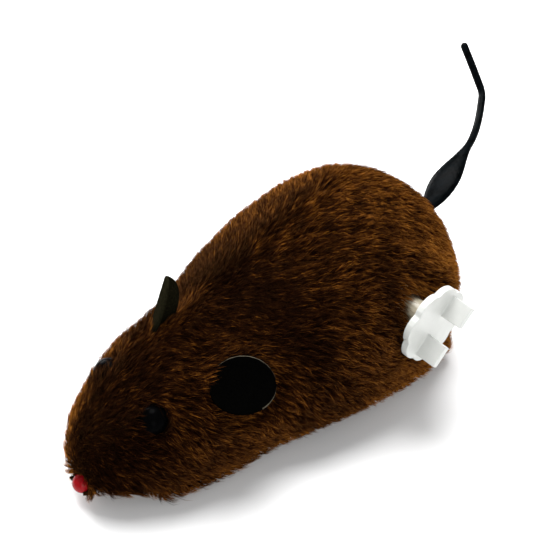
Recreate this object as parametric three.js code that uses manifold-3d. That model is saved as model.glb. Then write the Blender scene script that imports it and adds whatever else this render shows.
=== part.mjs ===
// Clockwork plush mouse: a soft pile-fabric body over a wind-up motor with two drive wheels.
// Millimetres, +Z up, standing on its wheels at z = 0. The nose points along -Y and the winding
// key stands out on the mouse's left side, along +X.
import * as THREE from "three";
import { mergeVertices } from "three/addons/utils/BufferGeometryUtils.js";
import Module from "manifold-3d";

const wasm = await Module();
wasm.setup();

// ---- Driving dimensions ------------------------------------------------------------------

// Body, measured to the tips of the pile.
const NOSE_Y = -44.8;
const RUMP_Y = 46;
const NOSE_ROUND = 9; // length over which the snout rounds off
const RUMP_ROUND = 13; // length over which the rump rounds off
const BELLY_Z = 1.6; // underside of the fur
const WIDEST_AT = 0.4; // height of the widest place, as a share of the section's height
// [place along the body, half width, height of the back]
const BODY_SECTIONS = [
  [-46, 7.6, 13.3],
  [-38, 11.0, 16.8],
  [-30, 15.2, 20.5],
  [-21, 18.0, 22.6],
  [-11, 19.4, 23.4],
  [0, 23.8, 25.6],
  [11, 26.0, 29.8],
  [23, 26.0, 33.5],
  [33, 24.1, 34.9],
  [46, 18.6, 34.2],
];
const FABRIC = 3.5; // woven back and pile together
const PILE = 2.5;
const STUFFING_GAP = 0.6;

const GAP = 0.3; // between pieces that touch
const PAST = 1; // how far a cutter runs past the face it opens
const BED = 0.5; // how deep a feature is sunk into the wall it grows from

// Motor: every axle lies along X.
const MODULE = 0.5;
const GREAT_TEETH = 20;
const PINION_TEETH = 10;
const IDLER_TEETH = 20;
const WHEEL_RADIUS = 8.5; // to the outside of the tyre
const KEY_Y = 22.5;
const KEY_Z = 21.2;
const AXLE_Z = WHEEL_RADIUS;
const CASE_HALF_WIDTH = 9;
const CASE_WALL = 1.1;
const CASE_FRONT = 10.8;
const CASE_BACK = 31.4;
const CASE_BOTTOM = 4.1;
const CASE_TOP = 28.0;
const CASE_CORNER = 3; // at the foot
const CASE_ARCH = 10.1; // at the top
const ARBOR_RADIUS = 1.5;
const PIN_RADIUS = 0.7;
const DRIVE_AXLE_RADIUS = 0.9;
const SPRING_TURNS = 6;
const SPRING_RADIUS = 5.1;
const SPRING_THICKNESS = 0.2;
const GREAT_WHEEL_X = -0.2; // right-hand face of the great wheel
const IDLER_X = 3.7; // right-hand face of the intermediate gear
const GEAR_WIDTH = 2.4;
const POST_RADIUS = 1.9; // of a screw post
const SPRING_POST = { radius: 0.7, y: 28.1, z: 18.0 }; // holds the mainspring's outer end
// Screws of the case lie along X at [y, z]. Those of the base plate stand at y on the middle line.
const CASE_SCREWS = [[14.0, 22.0], [13.2, 6.6], [29.0, 6.8]];
const CASE_SCREW_LENGTH = 9;
const PLATE_SCREWS = [16.4, 26.2];
const PLATE_SCREW_LENGTH = 4.5;
const SCREW = { shank: 0.8, head: 1.6, headHeight: 1.1 };

// Drive wheels.
const DRIVE_WHEEL_X = 11.9; // inner face of a drive wheel
const DRIVE_WHEEL_WIDTH = 3.8;
const TYRE_DEPTH = 1.3;
const WHEEL_HUB_RADIUS = 2.4;
const WHEEL_RIM = 1.1;
const WHEEL_WEB = [1.2, 2.6]; // between these places across the width

// Winding key.
const KEY_DISC_X = 25.6; // inner face of the disc
const KEY_DISC_RADIUS = 8.2;
const KEY_DISC_THICKNESS = 1.5;
const KEY_LOBES = 8;
const KEY_HUB_RADIUS = 2.6;
const KEY_HUB_X = 18.4; // inner end of the hub
const KEY_LOBE_DEPTH = 0.75;
const KEY_TANG = 2.1; // across the flats of the arbor that drive the key
const WING_OFFSET = 4.4; // from the axis to the middle of a wing
const WING_WIDTH = 4.5;
const WING_HEIGHT = 4.6;
const WING_THICKNESS = 1.6;
const KEY_ANGLE = Math.PI / 4; // the wings' line above the horizontal, at rest

// Base plate and front wheel.
const PLATE_BOTTOM = 2.4;
const PLATE_THICKNESS = 1.4;
const PLATE_FRONT = -31;
const PLATE_BACK = 36;
const PLATE_INSET = 7.4; // from the pile's widest line to the plate's edge
const RIM_TOP = 6.4;
const RIM_WALL = 1.2;
const FRONT_WHEEL_Y = -16;
const FRONT_WHEEL_RADIUS = 4.5;
const FRONT_WHEEL_WIDTH = 4;
const FRONT_AXLE_RADIUS = 0.6;
const LUG = { inner: 2.5, outer: 3.9, halfLength: 1.9, top: 6.7 }; // cheeks of the front axle

// Face.
const EYE_RADIUS = 3.0;
const EYE_LEFT = [7.3, -31.3];
const EYE_RIGHT = [-9.2, -30.2];
const NOSE_RADIUS = 2.0;
const NOSE_BEAD = [0.8, -43.6, 4.0];
const NOSE_BACK = -41.4; // floor of the nose's pocket
const NOSE_STALK_END = -40.4;
const NOSE_STALK_RADIUS = 0.6;
// Along the eye's own axis, which is 0 at the tips of the pile: the dome's centre, the dome's back
// edge behind that centre, the stalk's inner end and the washer's inner face.
const EYE_CENTRE = -2.1;
const EYE_BACK = 0.2;
const EYE_STALK_END = -5.6;
const EYE_WASHER_AT = -4.8;
const EYE_STALK_RADIUS = 0.8;

// Ears: grow is the way the disc reaches from its base, face the way it looks.
const EAR_RADIUS = 6.2;
const EAR_THICKNESS = 0.8;
const EARS = [
  { side: "left", base: [9.9, -19.8, 20.5], grow: [0.67, 0.74, 0.03], face: [0.16, -0.18, 0.97],
    cup: 0.9, crease: 0, spread: 1, openAbove: 4 },
  { side: "right", base: [-9.6, -18.8, 18.8], grow: [-0.157, 0.537, 0.833],
    face: [0.934, 0.353, -0.053], cup: 0.4, crease: 2.5, spread: 0.5, openAbove: 0 },
];

// Tail: places that its middle line runs through, from the root to the tip.
const TAIL_ROUTE = [
  [0, 43.6, 17.2], [0, 47.6, 18.2], [0, 51.5, 19.5], [-1.2, 57.5, 22], [-4, 67, 23.8],
  [-5.8, 72, 24.2], [-8.8, 77.6, 25.3], [-12.3, 82.6, 27.5], [-13.2, 83.7, 28.2], [-14.4, 84.2, 29.0],
  [-18.3, 85.6, 31.8], [-23.5, 87.4, 35.4],
];
const TAIL_HALF_WIDTH = 0.88;
const LEAF_HALF_WIDTH = 3.3;
const LEAF_FROM = 0.1; // shares of the tail's length
const LEAF_TO = 0.48;

// ---- Materials ---------------------------------------------------------------------------

const finish = (color, roughness, metalness = 0) =>
  new THREE.MeshStandardMaterial({ color, roughness, metalness });
const PLUSH = finish("#4a2710", 0.95);
const FELT = finish("#15130f", 0.9);
const WADDING = finish("#e8e4da", 1.0);
const WHITE_PLASTIC = finish("#eeeeea", 0.45);
const GREY_PLASTIC = finish("#2c2c2e", 0.5);
const CLEAR_PLASTIC = finish("#d8d6cc", 0.4);
const BLACK_GLOSS = finish("#0a0a0a", 0.12);
const RED_GLOSS = finish("#b3171a", 0.15);
const TAIL_VINYL = finish("#0d0d0d", 0.3);
const RUBBER = finish("#1a1a1a", 0.85);
const STEEL = finish("#a9abad", 0.3, 1);
const SPRING_STEEL = finish("#5b6068", 0.35, 1);

// ---- Small helpers -----------------------------------------------------------------------

const mouse = new THREE.Group();

function add(name, geometry, material) {
  const mesh = new THREE.Mesh(geometry, material);
  mesh.name = name;
  mouse.add(mesh);
  return mesh;
}

function positionsOnly(geometry) {
  const bare = geometry.clone();
  bare.deleteAttribute("normal");
  bare.deleteAttribute("uv");
  return mergeVertices(bare, 1e-4);
}

function toSolid(geometry) {
  const bare = positionsOnly(geometry);
  const vertProperties = new Float32Array(bare.attributes.position.array);
  const triVerts = new Uint32Array(bare.index.array);
  return new wasm.Manifold(new wasm.Mesh({ numProp: 3, vertProperties, triVerts }));
}

function toGeometry(solid) {
  const mesh = solid.getMesh();
  const geometry = new THREE.BufferGeometry();
  geometry.setAttribute("position", new THREE.BufferAttribute(mesh.vertProperties, 3));
  geometry.setIndex(new THREE.BufferAttribute(mesh.triVerts, 1));
  geometry.computeVertexNormals();
  return geometry;
}

function cut(geometry, ...tools) {
  return toGeometry(tools.reduce((solid, tool) => solid.subtract(toSolid(tool)), toSolid(geometry)));
}

function join(geometry, ...others) {
  return toGeometry(others.reduce((solid, other) => solid.add(toSolid(other)), toSolid(geometry)));
}

function keepInside(geometry, region) {
  return toGeometry(toSolid(geometry).intersect(toSolid(region)));
}

// A box given by its lowest and highest corners.
function box(low, high) {
  const size = high.map((value, i) => value - low[i]);
  const middle = high.map((value, i) => (value + low[i]) / 2);
  return new THREE.BoxGeometry(...size).translate(...middle);
}

// A round bar along X from x0 to x1.
function barX(radius, x0, x1, y, z, segments = 16) {
  return new THREE.CylinderGeometry(radius, radius, x1 - x0, segments)
    .rotateZ(-Math.PI / 2)
    .translate((x0 + x1) / 2, y, z);
}

// A round bar along Z from z0 to z1.
function rodZ(radius, z0, z1, segments = 20) {
  return new THREE.CylinderGeometry(radius, radius, z1 - z0, segments)
    .rotateX(Math.PI / 2)
    .translate(0, 0, (z0 + z1) / 2);
}

// A flat outline drawn in (y, z) and extruded along X from x0 to x1.
function slabX(shape, x0, x1, y = 0, z = 0) {
  return new THREE.ExtrudeGeometry(shape, { depth: x1 - x0, bevelEnabled: false, curveSegments: 5 })
    .rotateY(Math.PI / 2)
    .rotateX(Math.PI / 2)
    .translate(x0, y, z);
}

// A solid turned around Z from [radius, height] points that start and end on the axis.
function turned(points, segments = 20) {
  return new THREE.LatheGeometry(points.map(([r, h]) => new THREE.Vector2(r, h)), segments)
    .rotateX(Math.PI / 2);
}

// A closed skin over rings of points that all hold the same number, with a point at each end.
function loft(rings, first, last) {
  const count = rings[0].length;
  const points = [first, ...rings.flat(), last];
  const index = [];
  const at = (ring, i) => 1 + ring * count + (i % count);
  for (let i = 0; i < count; i++) {
    index.push(0, at(0, i), at(0, i + 1));
    for (let ring = 0; ring + 1 < rings.length; ring++) {
      index.push(at(ring, i), at(ring + 1, i + 1), at(ring, i + 1));
      index.push(at(ring, i), at(ring + 1, i), at(ring + 1, i + 1));
    }
    index.push(points.length - 1, at(rings.length - 1, i + 1), at(rings.length - 1, i));
  }
  const geometry = new THREE.BufferGeometry().setFromPoints(points);
  geometry.setIndex(index);
  geometry.computeVertexNormals();
  return geometry;
}

// A flat outline drawn in (x, y) and extruded from z0 to z1.
function alongZ(shape, z0, z1) {
  return new THREE.ExtrudeGeometry(shape, { depth: z1 - z0, bevelEnabled: false, curveSegments: 5 })
    .translate(0, 0, z0);
}

// ---- Body surface ------------------------------------------------------------------------

const RING_POINTS = 32;
const RING_COUNT = 22;

// Smooth value of one column of BODY_SECTIONS at a place along the body.
function along(y, column) {
  const last = BODY_SECTIONS.length - 1;
  const place = THREE.MathUtils.clamp(y, BODY_SECTIONS[0][0], BODY_SECTIONS[last][0]);
  let i = 0;
  while (i < last - 1 && place > BODY_SECTIONS[i + 1][0]) i++;
  const slope = (k) => {
    const [a, b] = [BODY_SECTIONS[Math.max(k - 1, 0)], BODY_SECTIONS[Math.min(k + 1, last)]];
    return (b[column] - a[column]) / (b[0] - a[0]);
  };
  const [from, to] = [BODY_SECTIONS[i], BODY_SECTIONS[i + 1]];
  const step = to[0] - from[0];
  const t = (place - from[0]) / step;
  const [t2, t3] = [t * t, t * t * t];
  return (2 * t3 - 3 * t2 + 1) * from[column] + (t3 - 2 * t2 + t) * step * slope(i)
    + (3 * t2 - 2 * t3) * to[column] + (t3 - t2) * step * slope(i + 1);
}

// 1 in the middle of a length, falling to 0 at both ends in a soft round.
function rounded(y, start, end, startRound, endRound) {
  const power = 2.3;
  const into = Math.max((start + startRound - y) / startRound, (y - end + endRound) / endRound, 0);
  return Math.max(1 - into ** power, 0) ** (1 / power);
}

// Half width, and heights of the widest place, the back and the belly, inset from the pile's tips.
function section(y, inset) {
  const round = rounded(y, NOSE_Y + inset, RUMP_Y - inset,
    NOSE_ROUND - inset / 2, RUMP_ROUND - inset / 2);
  const widest = WIDEST_AT * along(y, 2);
  return {
    halfWidth: (along(y, 1) - inset) * round,
    widest,
    top: widest + (along(y, 2) - inset - widest) * round,
    bottom: widest - (widest - BELLY_Z - inset) * round,
  };
}

const signedPower = (value, power) => Math.sign(value) * Math.abs(value) ** power;

function bodySkin(inset) {
  const [start, end] = [NOSE_Y + inset, RUMP_Y - inset];
  const rings = [];
  for (let ring = 1; ring <= RING_COUNT; ring++) {
    const share = (1 - Math.cos((Math.PI * ring) / (RING_COUNT + 1))) / 2;
    const y = start + (end - start) * share;
    const { halfWidth, widest, top, bottom } = section(y, inset);
    rings.push(Array.from({ length: RING_POINTS }, (_, i) => {
      const angle = (2 * Math.PI * i) / RING_POINTS;
      const power = Math.sin(angle) >= 0 ? 2 / 2.2 : 2 / 3.2;
      const height = Math.sin(angle) >= 0 ? top - widest : widest - bottom;
      return new THREE.Vector3(
        halfWidth * signedPower(Math.cos(angle), power),
        y,
        widest + height * signedPower(Math.sin(angle), power),
      );
    }));
  }
  const pole = (y) => new THREE.Vector3(0, y, WIDEST_AT * along(y, 2));
  return loft(rings, pole(start), pole(end));
}

// Height of the fur's tips over a point (x, y) of the back.
function backHeight(x, y) {
  const { halfWidth, widest, top } = section(y, 0);
  const across = Math.min(Math.abs(x) / halfWidth, 0.99);
  return widest + (top - widest) * (1 - across ** 2.2) ** (1 / 2.2);
}

// Placement whose +Z stands out of the fur at a point (x, y) of the back.
function outOfBack(x, y) {
  const step = 0.5;
  const normal = new THREE.Vector3(
    backHeight(x - step, y) - backHeight(x + step, y),
    backHeight(x, y - step) - backHeight(x, y + step),
    2 * step,
  ).normalize();
  const turn = new THREE.Quaternion().setFromUnitVectors(new THREE.Vector3(0, 0, 1), normal);
  const place = new THREE.Vector3(x, y, backHeight(x, y));
  return new THREE.Matrix4().compose(place, turn, new THREE.Vector3(1, 1, 1));
}

// ---- Winding motor -----------------------------------------------------------------------

// Pitch circles touch: great wheel on the intermediate pinion, intermediate gear on the axle pinion.
const PITCH = (teeth) => (MODULE * teeth) / 2;
const WIND_DISTANCE = PITCH(GREAT_TEETH) + PITCH(PINION_TEETH);
const DRIVE_DISTANCE = PITCH(IDLER_TEETH) + PITCH(PINION_TEETH);
const KEY_HEIGHT = KEY_Z - AXLE_Z;
const LEAN = Math.acos((WIND_DISTANCE ** 2 + KEY_HEIGHT ** 2 - DRIVE_DISTANCE ** 2)
  / (2 * WIND_DISTANCE * KEY_HEIGHT));
const IDLER_Y = KEY_Y - WIND_DISTANCE * Math.sin(LEAN);
const IDLER_Z = KEY_Z - WIND_DISTANCE * Math.cos(LEAN);

const PRESSURE_ANGLE = THREE.MathUtils.degToRad(25);
const ADDENDUM = 0.85 * MODULE;
const DEDENDUM = 1.1 * MODULE;
const BACKLASH = 0.1; // taken off each tooth at the pitch circle

// Outline of an involute gear with the middle of its first tooth at the angle given.
function gearShape(teeth, firstTooth, bore) {
  const pitch = PITCH(teeth);
  const base = pitch * Math.cos(PRESSURE_ANGLE);
  const [root, tip] = [pitch - DEDENDUM, pitch + ADDENDUM];
  const involute = (radius) => {
    const angle = Math.acos(Math.min(base / radius, 1));
    return Math.tan(angle) - angle;
  };
  const halfAtPitch = Math.PI / (2 * teeth) - BACKLASH / (2 * pitch);
  const halfAngle = (radius) => halfAtPitch + involute(pitch) - involute(Math.max(radius, base));
  const radii = [root, pitch, tip];
  const shape = new THREE.Shape();
  for (let tooth = 0; tooth < teeth; tooth++) {
    const middle = firstTooth + (2 * Math.PI * tooth) / teeth;
    const flank = radii.map((radius) => [radius, halfAngle(radius)]);
    const outline = [
      ...flank.map(([radius, half]) => [radius, middle - half]),
      ...flank.reverse().map(([radius, half]) => [radius, middle + half]),
    ];
    outline.forEach(([radius, angle], i) => {
      const point = [radius * Math.cos(angle), radius * Math.sin(angle)];
      if (tooth === 0 && i === 0) shape.moveTo(...point);
      else shape.lineTo(...point);
    });
  }
  if (bore) shape.holes.push(new THREE.Path().absarc(0, 0, bore, 0, 2 * Math.PI, true));
  return shape;
}

// Angle of the first tooth that puts a gap of this gear on a tooth of its neighbour.
const facing = (direction, teeth) => direction + Math.PI + Math.PI / teeth;
const IDLER_TO_KEY = Math.atan2(KEY_Z - IDLER_Z, KEY_Y - IDLER_Y);
const IDLER_TO_AXLE = Math.atan2(AXLE_Z - IDLER_Z, KEY_Y - IDLER_Y);

function addGears() {
  add("great_wheel",
    slabX(gearShape(GREAT_TEETH, facing(IDLER_TO_KEY, GREAT_TEETH), ARBOR_RADIUS + GAP),
      GREAT_WHEEL_X, GREAT_WHEEL_X + GEAR_WIDTH, KEY_Y, KEY_Z), WHITE_PLASTIC);

  const bore = PIN_RADIUS + GAP;
  const pinion = slabX(gearShape(PINION_TEETH, IDLER_TO_KEY), GREAT_WHEEL_X - 0.4, IDLER_X + BED,
    IDLER_Y, IDLER_Z);
  const gear = slabX(gearShape(IDLER_TEETH, IDLER_TO_AXLE), IDLER_X, IDLER_X + GEAR_WIDTH,
    IDLER_Y, IDLER_Z);
  const hole = barX(bore, -3, CASE_HALF_WIDTH, IDLER_Y, IDLER_Z);
  add("idler_gear", cut(join(gear, pinion), hole), WHITE_PLASTIC);
  const pinEnd = CASE_HALF_WIDTH - 0.3;
  add("idler_pin", barX(PIN_RADIUS, -pinEnd, pinEnd, IDLER_Y, IDLER_Z), STEEL);

  add("axle_pinion",
    slabX(gearShape(PINION_TEETH, facing(IDLER_TO_AXLE, PINION_TEETH), DRIVE_AXLE_RADIUS + GAP),
      IDLER_X - 0.3, IDLER_X + GEAR_WIDTH + 0.3, KEY_Y, AXLE_Z), WHITE_PLASTIC);
}

function addArbor() {
  const flat = KEY_TANG / 2;
  const round = barX(ARBOR_RADIUS, 0.2 - CASE_HALF_WIDTH, KEY_HUB_X - GAP, KEY_Y, KEY_Z);
  const square = box(
    [KEY_HUB_X - PAST, KEY_Y - flat, KEY_Z - flat],
    [KEY_DISC_X - 1, KEY_Y + flat, KEY_Z + flat],
  );
  add("winding_arbor", join(round, square), STEEL);
}

function addMainspring() {
  const steps = SPRING_TURNS * 14;
  const inner = ARBOR_RADIUS + GAP;
  const edge = (offset) => Array.from({ length: steps + 1 }, (_, i) => {
    const angle = (2 * Math.PI * SPRING_TURNS * i) / steps;
    const radius = inner + ((SPRING_RADIUS - SPRING_THICKNESS - inner) * i) / steps + offset;
    return new THREE.Vector2(radius * Math.cos(angle), radius * Math.sin(angle));
  });
  const strip = new THREE.Shape([...edge(SPRING_THICKNESS), ...edge(0).reverse()]);
  add("mainspring", slabX(strip, 1.3 - (CASE_HALF_WIDTH - CASE_WALL), GREAT_WHEEL_X - 1, KEY_Y, KEY_Z),
    SPRING_STEEL);
}

// A dome-headed screw standing on Z, its tip at 0.
function screw(length) {
  return turned([
    [0, 0], [SCREW.shank, 0], [SCREW.shank, length], [SCREW.head, length],
    [SCREW.head, length + SCREW.headHeight * 0.6], [SCREW.head * 0.6, length + SCREW.headHeight],
    [0, length + SCREW.headHeight],
  ], 12);
}

const PILOT_RADIUS = SCREW.shank + GAP;

// Side outline of the case, arched over the mainspring, drawn in by the inset given.
function caseOutline(inset) {
  const [y0, y1] = [CASE_FRONT + inset, CASE_BACK - inset];
  const [z0, z1] = [CASE_BOTTOM + inset, CASE_TOP - inset];
  const [corner, arch] = [CASE_CORNER - inset, CASE_ARCH - inset];
  const shape = new THREE.Shape();
  shape.absarc(y1 - corner, z0 + corner, corner, -Math.PI / 2, 0);
  shape.absarc(y1 - arch, z1 - arch, arch, 0, Math.PI / 2);
  shape.absarc(y0 + arch, z1 - arch, arch, Math.PI / 2, Math.PI);
  shape.absarc(y0 + corner, z0 + corner, corner, Math.PI, Math.PI * 1.5);
  return shape;
}

function addCase() {
  const outline = caseOutline(0);
  const hollow = caseOutline(CASE_WALL);
  const mouth = CASE_HALF_WIDTH - CASE_WALL - GAP;
  const floor = CASE_WALL - CASE_HALF_WIDTH;
  const through = CASE_HALF_WIDTH + PAST;
  const bearings = [
    barX(ARBOR_RADIUS + GAP, -through, through, KEY_Y, KEY_Z),
    barX(PIN_RADIUS + GAP, -through, through, IDLER_Y, IDLER_Z),
    barX(DRIVE_AXLE_RADIUS + GAP, -through, through, KEY_Y, AXLE_Z),
  ];
  const cup = cut(slabX(outline, -CASE_HALF_WIDTH, mouth), slabX(hollow, floor, mouth + PAST));
  const posts = CASE_SCREWS.map(([y, z]) => barX(POST_RADIUS, floor - BED, mouth, y, z));
  const pilots = CASE_SCREWS.map(([y, z]) => barX(PILOT_RADIUS, -3, mouth + PAST, y, z));
  const springPost = barX(SPRING_POST.radius, floor - BED, GREAT_WHEEL_X - 1.5,
    SPRING_POST.y, SPRING_POST.z);
  const feet = PLATE_SCREWS.map((y) =>
    rodZ(POST_RADIUS, CASE_BOTTOM, CASE_BOTTOM + PLATE_SCREW_LENGTH).translate(0, y, 0));
  const footPilots = PLATE_SCREWS.map((y) =>
    rodZ(PILOT_RADIUS, CASE_BOTTOM - PAST, CASE_BOTTOM + 4).translate(0, y, 0));
  add("motor_case",
    cut(join(cup, ...posts, springPost, ...feet), ...pilots, ...footPilots, ...bearings), CLEAR_PLASTIC);

  const screwHoles = CASE_SCREWS.map(([y, z]) => barX(PILOT_RADIUS, 0, through, y, z));
  add("motor_case_plate",
    cut(slabX(outline, CASE_HALF_WIDTH - CASE_WALL, CASE_HALF_WIDTH), ...bearings, ...screwHoles),
    CLEAR_PLASTIC);

  CASE_SCREWS.forEach(([y, z], i) => {
    const body = screw(CASE_SCREW_LENGTH).rotateY(Math.PI / 2)
      .translate(CASE_HALF_WIDTH + GAP - CASE_SCREW_LENGTH, y, z);
    add(`case_screw_${i + 1}`, body, STEEL);
  });
}

// ---- Wheels ------------------------------------------------------------------------------

// A closed profile of [radius, place] pairs turned around X.
function turnedX(points, segments) {
  const profile = [...points, points[0]].map(([r, h]) => new THREE.Vector2(r, h));
  return new THREE.LatheGeometry(profile, segments).rotateZ(-Math.PI / 2);
}

function addDrive() {
  const axleEnd = DRIVE_WHEEL_X + DRIVE_WHEEL_WIDTH - 0.6;
  add("drive_axle", barX(DRIVE_AXLE_RADIUS, -axleEnd, axleEnd, KEY_Y, AXLE_Z, 20), STEEL);
  const bore = DRIVE_AXLE_RADIUS + GAP;
  const inner = WHEEL_RADIUS - TYRE_DEPTH;
  const rim = inner - GAP;
  const [hub, width] = [WHEEL_HUB_RADIUS, DRIVE_WHEEL_WIDTH];
  const [webIn, webOut] = WHEEL_WEB;
  const wheel = [
    [bore, 0], [hub, 0], [hub, webIn], [rim - WHEEL_RIM, webIn], [rim - WHEEL_RIM, 0], [rim, 0],
    [rim, width], [rim - WHEEL_RIM, width], [rim - WHEEL_RIM, webOut], [hub, webOut], [hub, width],
    [bore, width],
  ];
  const groove = 0.3; // round the middle of the tread
  const corner = 0.5;
  const tyre = [
    [inner, 0], [WHEEL_RADIUS - corner, 0], [WHEEL_RADIUS, corner],
    [WHEEL_RADIUS, width / 2 - groove], [WHEEL_RADIUS - groove, width / 2],
    [WHEEL_RADIUS, width / 2 + groove], [WHEEL_RADIUS, width - corner],
    [WHEEL_RADIUS - corner, width], [inner, width],
  ];
  for (const [side, sign] of [["left", 1], ["right", -1]]) {
    const place = (geometry) => geometry.rotateY(sign > 0 ? 0 : Math.PI)
      .translate(sign * DRIVE_WHEEL_X, KEY_Y, AXLE_Z);
    add(`drive_wheel_${side}`, place(turnedX(wheel, 24)), WHITE_PLASTIC);
    add(`drive_tyre_${side}`, place(turnedX(tyre, 32)), RUBBER);
  }
}

function addFrontWheel() {
  const radius = FRONT_WHEEL_RADIUS;
  const half = FRONT_WHEEL_WIDTH / 2;
  const bore = FRONT_AXLE_RADIUS + GAP;
  const corner = 0.5;
  const profile = [
    [bore, -half], [radius - corner, -half], [radius, corner - half], [radius, half - corner],
    [radius - corner, half], [bore, half],
  ];
  add("front_wheel", turnedX(profile, 24).translate(0, FRONT_WHEEL_Y, radius), GREY_PLASTIC);
  const axleEnd = LUG.outer + 0.4;
  add("front_axle", barX(FRONT_AXLE_RADIUS, -axleEnd, axleEnd, FRONT_WHEEL_Y, radius), STEEL);
}

// ---- Base plate --------------------------------------------------------------------------

// Plan outline of the plate, grown outwards by the amount given.
function plateOutline(grow) {
  const steps = 18;
  const [start, end] = [PLATE_FRONT - grow, PLATE_BACK + grow];
  const side = Array.from({ length: steps + 1 }, (_, i) => {
    const y = start + ((end - start) * (1 - Math.cos((Math.PI * i) / steps))) / 2;
    return [(along(y, 1) - PLATE_INSET + grow) * rounded(y, start, end, 9, 12), y];
  });
  const right = side.map(([x, y]) => new THREE.Vector2(x, y));
  const left = side.slice(1, -1).reverse().map(([x, y]) => new THREE.Vector2(-x, y));
  return new THREE.Shape([...right, ...left]);
}

function addBasePlate() {
  const top = PLATE_BOTTOM + PLATE_THICKNESS;
  const [low, high] = [PLATE_BOTTOM - PAST, LUG.top + PAST];
  const tray = cut(alongZ(plateOutline(0), PLATE_BOTTOM, RIM_TOP),
    alongZ(plateOutline(-RIM_WALL), top, high));
  const lugs = [-1, 1].map((sign) => {
    const [near, far] = [LUG.inner * sign, LUG.outer * sign].sort((a, b) => a - b);
    return box([near, FRONT_WHEEL_Y - LUG.halfLength, top - BED],
      [far, FRONT_WHEEL_Y + LUG.halfLength, LUG.top]);
  });
  const around = 0.8; // room around a drive wheel
  // Half the length of a wheel's chord at the height given.
  const halfChord = (radius, height) => Math.sqrt(radius ** 2 - (radius - height) ** 2);
  const slotHalf = halfChord(WHEEL_RADIUS, RIM_TOP) + GAP;
  const wheelSlots = [-1, 1].map((sign) => {
    const [near, far] = [DRIVE_WHEEL_X - around, DRIVE_WHEEL_X + DRIVE_WHEEL_WIDTH + around]
      .map((x) => x * sign).sort((a, b) => a - b);
    return box([near, KEY_Y - slotHalf, low], [far, KEY_Y + slotHalf, high]);
  });
  const frontHalf = halfChord(FRONT_WHEEL_RADIUS, top) + 2 * GAP;
  const cheek = FRONT_WHEEL_WIDTH / 2 + 0.4;
  const frontSlot = box([-cheek, FRONT_WHEEL_Y - frontHalf, low],
    [cheek, FRONT_WHEEL_Y + frontHalf, high]);
  const axleHole = barX(FRONT_AXLE_RADIUS + GAP, -LUG.outer - PAST, LUG.outer + PAST,
    FRONT_WHEEL_Y, FRONT_WHEEL_RADIUS);
  const screwHoles = PLATE_SCREWS.map((y) => rodZ(PILOT_RADIUS, low, top + BED).translate(0, y, 0));
  add("base_plate", cut(join(tray, ...lugs), ...wheelSlots, frontSlot, axleHole, ...screwHoles),
    GREY_PLASTIC);
  PLATE_SCREWS.forEach((y, i) => {
    const tip = PLATE_BOTTOM - GAP + PLATE_SCREW_LENGTH;
    add(`plate_screw_${i + 1}`, screw(PLATE_SCREW_LENGTH).rotateX(Math.PI).translate(0, y, tip), STEEL);
  });
}

// ---- Winding key -------------------------------------------------------------------------

function addKey() {
  const outline = new THREE.Shape();
  const steps = KEY_LOBES * 6;
  for (let i = 0; i < steps; i++) {
    const angle = (2 * Math.PI * i) / steps;
    const lobe = Math.abs(Math.sin((KEY_LOBES * angle) / 2)) ** 0.7;
    const radius = KEY_DISC_RADIUS - KEY_LOBE_DEPTH * (1 - lobe);
    const point = [radius * Math.cos(angle + KEY_ANGLE), radius * Math.sin(angle + KEY_ANGLE)];
    if (i === 0) outline.moveTo(...point);
    else outline.lineTo(...point);
  }
  const face = KEY_DISC_X + KEY_DISC_THICKNESS;
  const disc = slabX(outline, KEY_DISC_X, face, KEY_Y, KEY_Z);
  const hub = barX(KEY_HUB_RADIUS, KEY_HUB_X, KEY_DISC_X + BED, KEY_Y, KEY_Z);
  const wings = [-1, 1].map((sign) => {
    const middle = sign * WING_OFFSET;
    return box([face - BED, middle - WING_WIDTH / 2, -WING_THICKNESS / 2],
      [face + WING_HEIGHT, middle + WING_WIDTH / 2, WING_THICKNESS / 2])
      .rotateX(KEY_ANGLE).translate(0, KEY_Y, KEY_Z);
  });
  const flat = KEY_TANG / 2 + GAP;
  const socket = box([KEY_HUB_X - PAST, KEY_Y - flat, KEY_Z - flat],
    [KEY_DISC_X - 1 + GAP, KEY_Y + flat, KEY_Z + flat]);
  add("winding_key", cut(join(disc, hub, ...wings), socket), WHITE_PLASTIC);
}

// ---- Face --------------------------------------------------------------------------------

// Eye with its dome at the tips of the pile and its stalk through the fabric, out along +Z.
function eyeBead() {
  const start = Math.asin(-EYE_BACK / EYE_RADIUS);
  const steps = 7;
  const dome = Array.from({ length: steps + 1 }, (_, i) => {
    const angle = start + ((Math.PI / 2 - start) * i) / steps;
    return [i === steps ? 0 : EYE_RADIUS * Math.cos(angle), EYE_CENTRE + EYE_RADIUS * Math.sin(angle)];
  });
  const stalk = [[0, EYE_STALK_END], [EYE_STALK_RADIUS, EYE_STALK_END],
    [EYE_STALK_RADIUS, EYE_CENTRE - EYE_BACK]];
  return turned([...stalk, ...dome]);
}

function washer(bore, radius, thickness) {
  const profile = [[bore, 0], [radius, 0], [radius, thickness], [bore, thickness], [bore, 0]];
  return new THREE.LatheGeometry(profile.map(([r, h]) => new THREE.Vector2(r, h)), 20)
    .rotateX(Math.PI / 2);
}

const EYES = [["left", ...EYE_LEFT], ["right", ...EYE_RIGHT]];

function addEyes() {
  for (const [side, x, y] of EYES) {
    const place = outOfBack(x, y);
    add(`eye_${side}`, eyeBead().applyMatrix4(place), BLACK_GLOSS);
    add(`eye_washer_${side}`,
      washer(EYE_STALK_RADIUS + GAP, 2.6, 0.7).translate(0, 0, EYE_WASHER_AT).applyMatrix4(place),
      CLEAR_PLASTIC);
  }
}

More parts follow.
